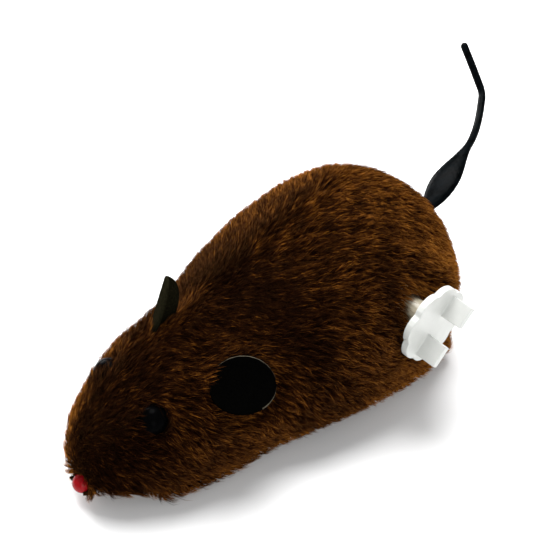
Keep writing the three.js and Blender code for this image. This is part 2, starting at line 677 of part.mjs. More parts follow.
function addNose() {
  const [x, y, z] = NOSE_BEAD;
  const bead = new THREE.SphereGeometry(NOSE_RADIUS, 16, 10).translate(x, y, z);
  const stalk = rodZ(NOSE_STALK_RADIUS, 0, NOSE_STALK_END - y).rotateX(-Math.PI / 2).translate(x, y, z);
  add("nose_bead", join(bead, stalk), RED_GLOSS);
}

// A cupped disc that grows from its base along its own +X, with +Z as its face. A folded one has a
// crease and keeps only a share of its spread. As a cutter it is grown and opened above its face.
function earDisc({ cup, crease, spread }, grow = 0, lift = 0) {
  const radius = EAR_RADIUS + grow;
  const half = EAR_THICKNESS / 2 + grow;
  const stations = 10;
  const across = 6;
  const bulge = cup / 2; // of the disc's middle below its base and far edge
  const rings = [];
  for (let i = 1; i < stations; i++) {
    const share = (1 - Math.cos((Math.PI * i) / stations)) / 2;
    const reach = radius * Math.sqrt(1 - (2 * share - 1) ** 2);
    const length = 2 * radius * share;
    const bend = (v) => cup * (v / radius) ** 2 + crease * Math.abs(v / radius)
      + bulge * (length / radius - 1) ** 2;
    const face = Array.from({ length: across + 1 }, (_, k) => reach * ((2 * k) / across - 1));
    rings.push([
      ...face.map((v) => new THREE.Vector3(length, v * spread, bend(v) + half + lift)),
      ...face.reverse().map((v) => new THREE.Vector3(length, v * spread, bend(v) - half)),
    ]);
  }
  const end = (x) => new THREE.Vector3(x, 0, bulge + lift / 2);
  return loft(rings, end(0), end(2 * radius));
}

function earPlace({ base, grow, face }) {
  const x = new THREE.Vector3(...grow).normalize();
  const y = new THREE.Vector3(...face).cross(x).normalize();
  const z = new THREE.Vector3().crossVectors(x, y);
  return new THREE.Matrix4().makeBasis(x, y, z).setPosition(...base);
}

function addEars() {
  for (const ear of EARS) {
    add(`ear_${ear.side}`, earDisc(ear).applyMatrix4(earPlace(ear)), FELT);
  }
}

// ---- Tail --------------------------------------------------------------------------------

const TAIL_RING_POINTS = 8;
const TAIL_RINGS = 36; // up to where the tip rounds off
const TIP_FROM = 0.986;
const TIP_RINGS = [0.993, 0.998];

function addTail() {
  const route = new THREE.CatmullRomCurve3(TAIL_ROUTE.map((p) => new THREE.Vector3(...p)));
  const evenly = Array.from({ length: TAIL_RINGS }, (_, i) => (TIP_FROM * i) / (TAIL_RINGS - 1));
  const rings = [];
  for (const share of [...evenly, ...TIP_RINGS]) {
    const centre = route.getPointAt(share);
    const ahead = route.getTangentAt(share);
    const across = new THREE.Vector3(1, 0.1, 0).cross(ahead).cross(ahead).negate().normalize();
    const up = new THREE.Vector3().crossVectors(across, ahead).normalize();
    const leafShare = THREE.MathUtils.clamp((share - LEAF_FROM) / (LEAF_TO - LEAF_FROM), 0, 1);
    const leaf = Math.sin(Math.PI * leafShare ** 0.75) ** 1.6;
    const tip = Math.sqrt(1 - Math.max((share - TIP_FROM) / (1 - TIP_FROM), 0) ** 2);
    const halfWidth = (TAIL_HALF_WIDTH + (LEAF_HALF_WIDTH - TAIL_HALF_WIDTH) * leaf) * tip;
    const halfThickness = (TAIL_HALF_WIDTH * 0.9 + 0.1 * leaf) * tip;
    rings.push(Array.from({ length: TAIL_RING_POINTS }, (_, k) => {
      const angle = (2 * Math.PI * k) / TAIL_RING_POINTS;
      return centre.clone()
        .addScaledVector(across, halfWidth * Math.cos(angle))
        .addScaledVector(up, halfThickness * Math.sin(angle));
    }));
  }
  add("tail", loft(rings, route.getPointAt(0), route.getPointAt(1)), TAIL_VINYL);
}

// ---- Soft body ---------------------------------------------------------------------------

// Room for the tail to swing at its root, opening outwards.
function tailPocket() {
  const reach = 8;
  const rise = 0.2; // the tail's slope at its root
  const [x, y, z] = TAIL_ROUTE[0];
  return new THREE.CylinderGeometry(5.2, 1.4, reach, 24)
    .translate(0, reach / 2, 0)
    .rotateX(rise)
    .translate(x, y - 0.7, z);
}

function addCover() {
  const opening = alongZ(plateOutline(GAP), BELLY_Z - PAST, RIM_TOP + GAP);
  const keyRecess = barX(KEY_DISC_RADIUS + 0.8, KEY_DISC_X - 2 * GAP, KEY_DISC_X + 10, KEY_Y, KEY_Z, 40);
  const keyHole = barX(KEY_HUB_RADIUS + 0.5, KEY_HUB_X - 6, KEY_DISC_X + PAST, KEY_Y, KEY_Z);
  const slack = 0.4;
  const eyePockets = EYES.flatMap(([, x, y]) => [
    rodZ(EYE_RADIUS + slack, -PILE, 6).applyMatrix4(outOfBack(x, y)),
    rodZ(EYE_STALK_RADIUS + slack, EYE_STALK_END - slack, 0).applyMatrix4(outOfBack(x, y)),
  ]);
  const [noseX, noseY, noseZ] = NOSE_BEAD;
  const alongNose = (radius, from, to) => rodZ(radius, 0, to - from, 24)
    .rotateX(-Math.PI / 2).translate(noseX, from, noseZ);
  const nosePocket = [
    alongNose(NOSE_RADIUS + slack, NOSE_Y - 6, NOSE_BACK),
    alongNose(NOSE_STALK_RADIUS + GAP, NOSE_BACK - PAST, NOSE_STALK_END + GAP),
  ];
  const earSlits = EARS.map((ear) => earDisc(ear, slack, ear.openAbove)
    .translate(-slack, 0, 0).applyMatrix4(earPlace(ear)));
  add("plush_cover", cut(bodySkin(0), bodySkin(FABRIC), opening, keyRecess, keyHole,
    ...eyePockets, ...nosePocket, ...earSlits, tailPocket()), PLUSH);
}

function addStuffing() {
  const inside = bodySkin(FABRIC + STUFFING_GAP);
  const floor = RIM_TOP + 0.7;
  const [side, ceiling] = [40, 60]; // well outside the body
  const headRegion = box([-side, NOSE_Y, floor], [side, CASE_FRONT - 2, ceiling]);
  const wheelTop = 2 * FRONT_WHEEL_RADIUS + 1.2;
  const frontWheelRoom = box([-5, FRONT_WHEEL_Y - 6, 0], [5, FRONT_WHEEL_Y + 6, wheelTop]);
  const eyeRoom = EYES.map(([, x, y]) => rodZ(3.1, EYE_STALK_END - 0.8, 0)
    .applyMatrix4(outOfBack(x, y)));
  const earRoom = EARS.map((ear) => earDisc(ear, STUFFING_GAP).translate(-STUFFING_GAP, 0, 0)
    .applyMatrix4(earPlace(ear)));
  add("head_stuffing", cut(keepInside(inside, headRegion), frontWheelRoom, ...eyeRoom, ...earRoom),
    WADDING);

  const rumpRegion = box([-side, CASE_FRONT - 0.8, floor], [side, RUMP_Y, ceiling]);
  const motorSide = CASE_HALF_WIDTH + 1.7;
  const motorRoom = box([-motorSide, 0, 0], [motorSide, CASE_BACK + 0.9, ceiling]);
  const wheelSide = DRIVE_WHEEL_X + DRIVE_WHEEL_WIDTH + 1.5;
  const wheelRoom = box([-wheelSide, 0, 0],
    [wheelSide, KEY_Y + WHEEL_RADIUS + 1.2, 2 * WHEEL_RADIUS + 1]);
  const hubRoom = barX(KEY_HUB_RADIUS + 0.7, CASE_HALF_WIDTH, side, KEY_Y, KEY_Z);
  add("rump_stuffing", cut(keepInside(inside, rumpRegion), motorRoom, wheelRoom, hubRoom), WADDING);
}

addCover();
addStuffing();
addEyes();
addNose();
addEars();
addTail();
addKey();
addArbor();
addMainspring();
addGears();
addCase();
addDrive();
addFrontWheel();
addBasePlate();

// The origin is the middle of the standing toy's box, at the floor.
const outside = new THREE.Box3().setFromObject(mouse, true);
const middle = outside.getCenter(new THREE.Vector3());
mouse.position.set(-middle.x, -middle.y, -outside.min.z);

export default mouse;
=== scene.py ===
"""Clockwork plush mouse: fur, felt, moulded plastic and clockwork over the CAD frame."""

import math

import bpy
import numpy as np
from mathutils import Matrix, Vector
from mathutils.bvhtree import BVHTree
from mathutils.kdtree import KDTree


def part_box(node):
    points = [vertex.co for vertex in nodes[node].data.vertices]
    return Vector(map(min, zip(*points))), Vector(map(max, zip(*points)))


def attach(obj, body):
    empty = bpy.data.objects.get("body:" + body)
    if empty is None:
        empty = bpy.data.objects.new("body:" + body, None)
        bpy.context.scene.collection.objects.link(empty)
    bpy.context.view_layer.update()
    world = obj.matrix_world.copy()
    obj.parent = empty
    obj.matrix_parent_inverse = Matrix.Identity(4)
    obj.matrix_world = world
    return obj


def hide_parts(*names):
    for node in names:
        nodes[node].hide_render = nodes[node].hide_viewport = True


MM = 0.001

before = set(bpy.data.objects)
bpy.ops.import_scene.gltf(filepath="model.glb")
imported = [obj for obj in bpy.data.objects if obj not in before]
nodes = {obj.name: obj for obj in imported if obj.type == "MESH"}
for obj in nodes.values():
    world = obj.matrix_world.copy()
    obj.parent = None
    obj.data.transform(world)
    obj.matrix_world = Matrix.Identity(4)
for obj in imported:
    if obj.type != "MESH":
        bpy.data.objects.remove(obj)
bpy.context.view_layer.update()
scene = bpy.context.scene

# ---- Sizes, in millimetres unless a comment says otherwise ---------------------------------

# The body's surface is a grid of rows along it and columns round it.
ROWS, COLUMNS = 200, 144
FILL_PASSES, SMOOTH_PASSES = 1500, 6
CAP_RISE = 0.4  # how far the domes that close the grid's ends stand out
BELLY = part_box("plush_cover")[0].z / MM
PILE = 2.1  # from the backing to the tips
BACKING = 0.5
OPENING_HEIGHT = 6.0  # above the belly: the cloth and the pile are open to here for the wheels
HUB_GAP = 1.3  # from the key's hub to the edge of its hole in the cloth
PRESS_MARGIN, PRESS_GAP = 1.2, 0.15  # round and behind the key's disc, where it flattens the pile

# Fur. PARTING is where the lay turns over to the other side, from the middle line.
STRANDS = 170_000  # before those over the base plate and inside other pieces are taken out
TUFTS = 34_000
STRAYS = 0.02  # the share of strands that stand out of the coat
STRAND_RUN = 3.2  # how far along the body a strand reaches
STRAY_RUN = 3.9  # the same of the few strands that stand out of the coat
STRAND_RADIUS = 0.05
STRAND_RINGS = (0.0, 0.3, 0.66)  # shares of a strand's length that have a ring of points
STRAND_SIDES = 3
LIFTS = (0.9, 1.6, 2.3)  # tried in turn on a strand that meets a piece, to ride over it
SHORTEST = 0.3  # the share of its length below which a strand that was cut is left out
FLOOR_GAP = 0.25  # no strand comes nearer to the floor than this
PARTING = -11.0


def centre(node):
    low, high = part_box(node)
    return (low + high) / 2


BODY_MIDDLE = centre("plush_cover")
KEY_AXIS = centre("winding_arbor")
KEY_POINTS = np.array([v.co for v in nodes["winding_key"].data.vertices]) / MM
KEY_RADII = np.linalg.norm(KEY_POINTS[:, 1:] - np.array(KEY_AXIS)[1:] / MM, axis=1)
KEY_REACH = KEY_RADII.max()
DISC_BACK = KEY_POINTS[KEY_RADII > 6, 0].min()  # only the disc reaches past a radius of 6
HUB_RADIUS = KEY_RADII[KEY_POINTS[:, 0] < DISC_BACK - 1].max()
TAIL_ROOT = min((v.co for v in nodes["tail"].data.vertices), key=lambda p: p.y).copy()

# ---- Camera, floor and light --------------------------------------------------------------

VIEW_AZIMUTH, VIEW_ELEVATION = math.radians(48.3), math.radians(45)
VIEW_DISTANCE = 205 * MM
SENSOR = 36.0
VIEW_WIDTH = 110.2 * MM  # what the frame takes in at the object
VIEW_SHIFT = (0.0345, 0.0944)
AIM_HEIGHT = 15 * MM
WORLD_STRENGTH = 0.46
FLOOR_HALF = 2.0  # metres from its middle to its edge


def add_camera():
    data = bpy.data.cameras.new("camera")
    camera = bpy.data.objects.new("camera", data)
    scene.collection.objects.link(camera)
    back = Vector((
        math.sin(VIEW_AZIMUTH) * math.cos(VIEW_ELEVATION),
        -math.cos(VIEW_AZIMUTH) * math.cos(VIEW_ELEVATION),
        math.sin(VIEW_ELEVATION),
    ))
    aim = Vector((BODY_MIDDLE.x, BODY_MIDDLE.y, AIM_HEIGHT))
    camera.location = aim + back * VIEW_DISTANCE
    camera.rotation_euler = (-back).to_track_quat("-Z", "Y").to_euler()
    data.sensor_width = SENSOR
    data.lens = SENSOR * VIEW_DISTANCE / VIEW_WIDTH
    data.shift_x, data.shift_y = VIEW_SHIFT
    data.clip_start, data.clip_end = 0.01, 10
    scene.camera = camera


def area_light(name, size, power, place):
    """A round soft light aimed at the object, with its size and place in metres."""
    data = bpy.data.lights.new(name, "AREA")
    data.shape = "DISK"
    data.size = size
    data.energy = power
    lamp = bpy.data.objects.new(name, data)
    lamp.location = place
    ahead = Vector((0, 0, AIM_HEIGHT)) - Vector(place)
    lamp.rotation_euler = ahead.to_track_quat("-Z", "Y").to_euler()
    scene.collection.objects.link(lamp)


def add_studio():
    world = bpy.data.worlds.new("studio")
    world.use_nodes = True
    background = world.node_tree.nodes["Background"]
    background.inputs["Color"].default_value = (1, 1, 1, 1)
    background.inputs["Strength"].default_value = WORLD_STRENGTH
    scene.world = world
    scene.view_settings.view_transform = "Standard"
    area_light("top_softbox", 0.45, 6.5, (-0.20, 0.16, 0.60))
    area_light("front_fill", 0.5, 2.2, (0.60, -0.30, 0.26))
    area_light("far_side_light", 0.3, 4.5, (-0.50, 0.06, 0.22))
    edges = (-FLOOR_HALF, FLOOR_HALF)
    floor = grid_piece("floor", [[(x, y, 0) for x in edges] for y in edges])
    floor.data.materials.append(floor_material())


# ---- Materials ----------------------------------------------------------------------------


class Nodes:
    """A material's node tree, with one Principled shader and the coordinates its patterns use."""

    def __init__(self, name, **inputs):
        self.material = bpy.data.materials.new(name)
        self.material.use_nodes = True
        self.tree = self.material.node_tree
        self.shader = self.tree.nodes["Principled BSDF"]
        for key, value in inputs.items():
            self.set(key.replace("_", " "), value)

    def set(self, socket, value):
        if isinstance(value, tuple) and len(value) == 3:
            value = (*value, 1.0)
        self.shader.inputs[socket].default_value = value

    def add(self, kind, **values):
        node = self.tree.nodes.new(kind)
        for key, value in values.items():
            if key in node.inputs:
                node.inputs[key].default_value = value
            else:
                setattr(node, key, value)
        return node

    def link(self, source, target):
        self.tree.links.new(source, target)

    def place(self, scale=(1, 1, 1)):
        """Object coordinates in millimetres, stretched by scale."""
        coordinates = self.add("ShaderNodeTexCoord")
        mapping = self.add("ShaderNodeMapping")
        mapping.inputs["Scale"].default_value = [s / MM for s in scale]
        self.link(coordinates.outputs["Object"], mapping.inputs["Vector"])
        return mapping.outputs["Vector"]

    def noise(self, size, detail=3.0, roughness=0.55, stretch=(1, 1, 1)):
        """Noise with features of about the size given, in millimetres."""
        node = self.add("ShaderNodeTexNoise")
        node.inputs["Scale"].default_value = 1 / size
        node.inputs["Detail"].default_value = detail
        node.inputs["Roughness"].default_value = roughness
        self.link(self.place(stretch), node.inputs["Vector"])
        return node.outputs["Fac"]

    def ramp(self, value, *stops):
        node = self.add("ShaderNodeValToRGB")
        elements = node.color_ramp.elements
        while len(elements) < len(stops):
            elements.new(0.5)
        for element, (position, colour) in zip(elements, stops):
            element.position = position
            element.color = (*colour, 1) if isinstance(colour, tuple) else (colour,) * 3 + (1,)
        self.link(value, node.inputs["Fac"])
        return node.outputs["Color"]

    def spread(self, value, low, high):
        """The value's middle range, spread from low to high."""
        node = self.add("ShaderNodeMapRange")
        ends = {"From Min": 0.3, "From Max": 0.7, "To Min": low, "To Max": high}
        for key, number in ends.items():
            node.inputs[key].default_value = number
        self.link(value, node.inputs["Value"])
        return node.outputs["Result"]

    def colour(self, output):
        self.link(output, self.shader.inputs["Base Color"])

    def rough(self, output):
        self.link(output, self.shader.inputs["Roughness"])

    def bump(self, height, distance, strength):
        node = self.add("ShaderNodeBump")
        node.inputs["Distance"].default_value = distance * MM
        node.inputs["Strength"].default_value = strength
        self.link(height, node.inputs["Height"])
        self.link(node.outputs["Normal"], self.shader.inputs["Normal"])

    def moulded_grain(self, roughness, grain):
        """The fine grain of moulded plastic, in gloss and relief."""
        fine = self.noise(grain, 2)
        self.rough(self.spread(fine, roughness - 0.06, roughness + 0.08))
        self.bump(fine, 0.03, 0.35)


def floor_material():
    m = Nodes("studio_floor", Roughness=0.7)
    m.colour(m.ramp(m.noise(60), (0.3, (0.86, 0.86, 0.86)), (0.7, (0.9, 0.9, 0.9))))
    return m.material


def moulded(name, dark, light, roughness, grain=0.25):
    """Moulded plastic: faint flow marks in the colour and a fine grain in gloss and relief."""
    m = Nodes(name)
    m.colour(m.ramp(m.noise(5, 4), (0.3, dark), (0.7, light)))
    m.moulded_grain(roughness, grain)
    return m.material


def key_plastic(name, dark, light, hub):
    """The white plastic of the key, with painted shadow, a dull beige, on its hub where it stands
    down in the fur.
    """
    m = Nodes(name)
    inward = m.add("ShaderNodeSeparateXYZ")
    m.link(m.place(), inward.inputs["Vector"])
    share = m.add("ShaderNodeMapRange")
    share.inputs["From Min"].default_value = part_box("winding_key")[1].x / MM - 8.6
    share.inputs["From Max"].default_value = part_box("winding_key")[1].x / MM - 6.4
    m.link(inward.outputs["X"], share.inputs["Value"])
    mix = m.add("ShaderNodeMix", data_type="RGBA")
    m.link(share.outputs["Result"], mix.inputs["Factor"])
    mix.inputs[6].default_value = (*hub, 1)
    m.link(m.ramp(m.noise(5, 4), (0.3, dark), (0.7, light)), mix.inputs[7])
    m.colour(mix.outputs[2])
    m.moulded_grain(0.36, 0.25)
    return m.material


def metal(name, dark, light, roughness):
    """Drawn or turned metal with fine lines, drawn out along the axles."""
    m = Nodes(name, Metallic=1.0)
    lines = m.noise(0.12, 3, 0.6, (0.1, 1, 1))
    m.colour(m.ramp(lines, (0.3, dark), (0.7, light)))
    m.rough(m.spread(lines, roughness - 0.08, roughness + 0.12))
    m.bump(lines, 0.02, 0.4)
    return m.material


def felt_material(name, dark, light, fluff):
    m = Nodes(name, Roughness=0.95)
    m.set("Specular IOR Level", 0.0)
    fibres = m.noise(0.35, 6, 0.7)
    m.colour(m.ramp(fibres, (0.3, dark), (0.6, light), (0.85, fluff)))
    m.bump(fibres, 0.15, 0.8)
    return m.material


def backing_material():
    """Knitted backing cloth: fine wavering ribs running one way."""
    m = Nodes("knitted_backing", Roughness=0.95)
    m.set("Specular IOR Level", 0.0)
    wave = m.add("ShaderNodeTexWave", wave_type="BANDS", bands_direction="X")
    wave.inputs["Scale"].default_value = 0.9
    wave.inputs["Distortion"].default_value = 1.5
    m.link(m.place(), wave.inputs["Vector"])
    dark, light = (0.010, 0.0045, 0.0018), (0.024, 0.010, 0.0035)
    m.colour(m.ramp(wave.outputs["Fac"], (0.2, dark), (0.8, light)))
    m.bump(wave.outputs["Fac"], 0.1, 0.6)
    return m.material


def tail_material():
    m = Nodes("tail_vinyl")
    m.set("Specular IOR Level", 0.015)
    streaks = m.noise(1.3, 4, 0.6, (1, 0.35, 0.6))
    dark, light = (0.0006, 0.0008, 0.0009), (0.0022, 0.0036, 0.0046)
    m.colour(m.ramp(streaks, (0.35, dark), (0.75, light)))
    m.rough(m.spread(streaks, 0.22, 0.38))
    m.bump(streaks, 0.2, 0.6)
    return m.material


def bead_material(name, dark, light, gloss):
    m = Nodes(name, IOR=1.25)
    m.set("Specular IOR Level", gloss)
    scratches = m.noise(0.5, 5, 0.65, (1, 1, 0.4))
    m.colour(m.ramp(scratches, (0.3, dark), (0.7, light)))
    m.rough(m.spread(scratches, 0.08, 0.2))
    return m.material


def rubber_material():
    m = Nodes("tyre_rubber", Roughness=0.8)
    dust = m.noise(0.6, 5, 0.7)
    m.colour(m.ramp(dust, (0.35, (0.012, 0.012, 0.012)), (0.75, (0.035, 0.033, 0.03))))
    m.rough(m.spread(dust, 0.7, 0.9))
    m.bump(dust, 0.05, 0.5)
    return m.material


def wadding_material():
    m = Nodes("fibre_wadding", Roughness=1.0, Sheen_Weight=0.4)
    fibres = m.noise(0.8, 6, 0.7)
    m.colour(m.ramp(fibres, (0.3, (0.62, 0.6, 0.55)), (0.7, (0.82, 0.8, 0.76))))
    m.bump(fibres, 0.4, 0.8)
    return m.material


# ---- Mesh helpers -------------------------------------------------------------------------


def new_piece(name, points, faces):
    """A smooth mesh object from points in metres."""
    mesh = bpy.data.meshes.new(name)
    mesh.from_pydata([tuple(p) for p in points], [], faces)
    mesh.validate()
    mesh.shade_smooth()
    piece = bpy.data.objects.new(name, mesh)
    scene.collection.objects.link(piece)
    return piece


def grid_piece(name, rows):
    """An open sheet through rows of points."""
    count = len(rows[0])
    points = [p for row in rows for p in row]
    faces = [
        (r * count + c, r * count + c + 1, (r + 1) * count + c + 1, (r + 1) * count + c)
        for r in range(len(rows) - 1) for c in range(count - 1)
    ]
    return new_piece(name, points, faces)


def tree_of(*names):
    """One search tree over several CAD nodes."""
    points, faces = [], []
    for name in names:
        mesh = nodes[name].data
        start = len(points)
        points += [v.co.copy() for v in mesh.vertices]
        faces += [tuple(start + i for i in p.vertices) for p in mesh.polygons]
    return BVHTree.FromPolygons(points, faces)


def unit(vectors):
    return vectors / np.maximum(np.linalg.norm(vectors, axis=-1, keepdims=True), 1e-12)


def drift(points, size, seed):
    """Smooth noise in about -1 to 1 with features of the size given, at points in millimetres."""
    waves = 9
    rng = np.random.default_rng(seed)
    total = np.zeros(len(points))
    for _ in range(waves):
        direction = unit(rng.normal(size=3)) * 2 * math.pi / (size * rng.uniform(1.2, 2.8))
        total += np.sin(points @ direction + rng.uniform(0, 2 * math.pi))
    return total / math.sqrt(waves)


# ---- Body surface -------------------------------------------------------------------------


def pockets():
    """Places where the CAD cover is cut away for another piece: centre and reach, in mm."""
    reach = {"eye_left": 6.2, "eye_right": 6.2, "nose_bead": 3.2, "ear_left": 8.5, "ear_right": 8}
    found = [(centre(name) / MM, r) for name, r in reach.items()]
    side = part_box("winding_key")[0].x + 5 * MM
    found.append((Vector((side, KEY_AXIS.y, KEY_AXIS.z)) / MM, 10.5))
    found.append((TAIL_ROOT / MM, 8.0))
    return found


def crown(radius, known, hits, place, reach, ys, angles):
    """Fills one cut of the surface with a gentle curve that fits the ring of cells round it."""
    away = np.linalg.norm(hits - np.array(place), axis=2)
    cut, ring = away <= reach, known & (away > reach) & (away < 1.7 * reach)
    if not cut.any():
        return
    bearing = math.atan2(place[2] - hits[..., 2].mean(), place[0] - BODY_MIDDLE.x / MM)
    turn = (angles[None, :] - bearing + math.pi) % (2 * math.pi) - math.pi
    u, v = np.broadcast_arrays((ys[:, None] - place[1]) / reach, turn)
    terms = np.stack([np.ones_like(u), u, v, u * u, u * v, v * v], axis=-1)
    fit = np.linalg.lstsq(terms[ring], radius[ring], rcond=None)[0]
    radius[cut] = terms[cut] @ fit


def body_surface():
    """The pile's tips as a grid of points in mm: the CAD cover's outside with its cuts filled."""
    low, high = (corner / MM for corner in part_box("plush_cover"))
    cover = tree_of("plush_cover")
    ys = low.y + (high.y - low.y) * (np.arange(ROWS) + 0.5) / ROWS
    tops = []
    for y in ys:
        hit = cover.ray_cast(Vector((BODY_MIDDLE.x, y * MM, 0.1)), Vector((0, 0, -1)))[0]
        tops.append(hit.z / MM if hit else BELLY)
    middles = 0.42 * np.polyval(np.polyfit(ys[5:-5], np.array(tops)[5:-5], 4), ys)
    angles = 2 * np.pi * np.arange(COLUMNS) / COLUMNS
    radius = np.zeros((ROWS, COLUMNS))
    hits = np.zeros((ROWS, COLUMNS, 3))
    known = np.ones((ROWS, COLUMNS), bool)
    cuts = pockets()
    for i, y in enumerate(ys):
        middle = Vector((BODY_MIDDLE.x / MM, y, middles[i]))
        for j, angle in enumerate(angles):
            out = Vector((math.cos(angle), 0, math.sin(angle)))
            hit = cover.ray_cast((middle + out * 80) * MM, -out)[0]
            if hit is None:
                known[i, j] = False
                continue
            hit = hit / MM
            hits[i, j] = hit
            radius[i, j] = (hit - middle).length
            known[i, j] = all((hit - c).length > r for c, r in cuts)
            if out.z < -0.35 and hit.z > BELLY + 0.7 and low.y + 9 < y < high.y - 9:
                radius[i, j] = min((middle.z - BELLY) / -out.z, radius[i, j] + 4)
                known[i, j] = True
    radius[~known] = radius[known].mean()
    for _ in range(FILL_PASSES):
        around = np.pad(radius, ((1, 1), (0, 0)), mode="edge")
        mean = (around[:-2] + around[2:] + np.roll(radius, 1, 1) + np.roll(radius, -1, 1)) / 4
        radius = np.where(known, radius, mean)
    for place, reach in cuts:
        if place[2] > 12 and place[1] < TAIL_ROOT.y / MM - 5:
            crown(radius, known, hits, place, reach, ys, angles)
    for _ in range(SMOOTH_PASSES):
        around = np.pad(radius, ((1, 1), (0, 0)), mode="edge")
        radius = (radius * 4 + around[:-2] + around[2:] + np.roll(radius, 1, 1)
                  + np.roll(radius, -1, 1)) / 8
    depth = np.maximum(-np.sin(angles), 1e-3)[None, :]
    to_belly = (middles[:, None] - BELLY) / depth
    radius = np.where(depth > 0.05, np.minimum(radius, to_belly), radius)
    grid = np.empty((ROWS, COLUMNS, 3))
    grid[..., 0] = BODY_MIDDLE.x / MM + radius * np.cos(angles)
    grid[..., 1] = ys[:, None]
    grid[..., 2] = middles[:, None] + radius * np.sin(angles)
    return capped(grid)


def capped(grid):
    """The grid with rows added at both ends that close it in a soft dome."""
    def dome(rim, outward_y):
        hub = rim.mean(axis=0)
        rows = []
        for share in (0.85, 0.65, 0.42, 0.2, 0.02):
            row = hub + (rim - hub) * share
            row[:, 1] = hub[1] + outward_y * math.sqrt(1 - share ** 2) * CAP_RISE
            rows.append(row)
        return np.stack(rows)

    return np.concatenate([dome(grid[0], -1)[::-1], grid, dome(grid[-1], 1)])


def outward(grid):
    along = np.gradient(grid, axis=0)
    around = (np.roll(grid, -1, 1) - np.roll(grid, 1, 1)) / 2
    return unit(np.cross(along, around))


surface = body_surface()
normals = outward(surface)

plate_tree = tree_of("base_plate", "drive_tyre_left", "drive_tyre_right", "front_wheel",
                     "drive_wheel_left", "drive_wheel_right")


def over_plate(point, margin):
    """True if, seen from below, the base plate or a wheel is within the margin of the point."""
    for dx, dy in ((margin, 0), (-margin, 0), (0, margin), (0, -margin)):
        start = Vector((point[0] + dx, point[1] + dy, -5)) * MM
        if plate_tree.ray_cast(start, Vector((0, 0, 1)), 15 * MM)[0]:
            return True
    return False


def add_backing():
    """The cloth that the pile stands on, open for the base plate and for the key's hub."""
    skin = surface - normals * PILE
    skin[..., 2] = np.maximum(skin[..., 2], BELLY + 0.6)
    points = [Vector(p) * MM for p in skin.reshape(-1, 3)]
    faces = []
    rows = len(skin)
    key_axis = np.array(KEY_AXIS)[1:] / MM
    for i in range(rows - 1):
        for j in range(COLUMNS):
            k = (j + 1) % COLUMNS
            middle = skin[i, j]
            if middle[2] < BELLY + OPENING_HEIGHT and over_plate(middle, 1.2):
                continue
            if middle[0] > 10 and np.hypot(*(middle[1:] - key_axis)) < HUB_RADIUS + HUB_GAP:
                continue
            a, b = i * COLUMNS, (i + 1) * COLUMNS
            faces.append((a + j, a + k, b + k, b + j))
    faces.append(tuple(range(COLUMNS))[::-1])
    faces.append(tuple((rows - 1) * COLUMNS + j for j in range(COLUMNS)))
    piece = new_piece("plush_backing", points, faces)
    thick = piece.modifiers.new("cloth", "SOLIDIFY")
    thick.thickness = BACKING * MM
    thick.offset = -1
    piece.data.materials.append(backing_material())
    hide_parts("plush_cover")
    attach(piece, "body")


# ---- Fur ----------------------------------------------------------------------------------

# Colours of the pile, darkest first. A strand steps up through them from root to tip: its darker
# root and lower rings are painted shade down in the pile.
FUR_TONES = [
    (0.0028, 0.0009, 0.0005), (0.0085, 0.0026, 0.0011), (0.026, 0.0082, 0.0023),
    (0.078, 0.0255, 0.0050), (0.210, 0.073, 0.0110), (0.40, 0.150, 0.022),
]
BRIGHT_SHARE = 0.25  # of the strands, a tone lighter than their tuft


def fur_materials():
    made = []
    for i, tone in enumerate(FUR_TONES):
        m = Nodes(f"pile_tone_{i + 1}", Roughness=0.6, Sheen_Weight=0.07, Sheen_Roughness=0.4)
        m.set("Base Color", tone)
        m.set("Sheen Tint", (1.0, 0.45, 0.16))
        m.set("Specular IOR Level", 0.0)
        made.append(m.material)
    return made


def scatter(count, rng):
    """Points spread evenly by area over the body surface, with their normals."""
    a, b = surface[:-1], surface[1:]
    cells = np.linalg.norm(np.cross(b - a, np.roll(a, -1, 1) - a), axis=2).ravel()
    picked = rng.choice(cells.size, size=count, p=cells / cells.sum())
    i, j = np.divmod(picked, COLUMNS)
    k = (j + 1) % COLUMNS
    u, v = rng.random((2, count, 1))

    def blend(field):
        return ((field[i, j] * (1 - v) + field[i, k] * v) * (1 - u)
                + (field[i + 1, j] * (1 - v) + field[i + 1, k] * v) * u)

    return blend(surface), unit(blend(normals))


def lay_of(points, normal):
    """The way the pile lies: back, down from the parting, off the nose and in to the right eye."""
    x = points[:, :1] - BODY_MIDDLE.x / MM
    back = np.array([0.0, 1.0, 0.0])
    steep = 0.35 + 0.4 * np.maximum(normal[:, 2:], 0)
    down_side = np.cross(back, normal) * np.tanh((x - PARTING) / 4) * steep

    def towards(name, reach):
        apart = np.array(centre(name) / MM) - points
        return unit(apart) * np.exp(-(np.linalg.norm(apart, axis=1, keepdims=True) / reach) ** 2)

    way = (0.66 * back + down_side - 0.9 * towards("nose_bead", 7)
           + 1.4 * towards("eye_right", 4.5) + np.array([0, 0, -0.12]))
    way = unit(way - normal * (way * normal).sum(1, keepdims=True))
    side = np.cross(normal, way)
    turn = (0.26 * drift(points, 9, 11) + 0.14 * drift(points, 3.5, 12))[:, None]
    return unit(way * np.cos(turn) + side * np.sin(turn))


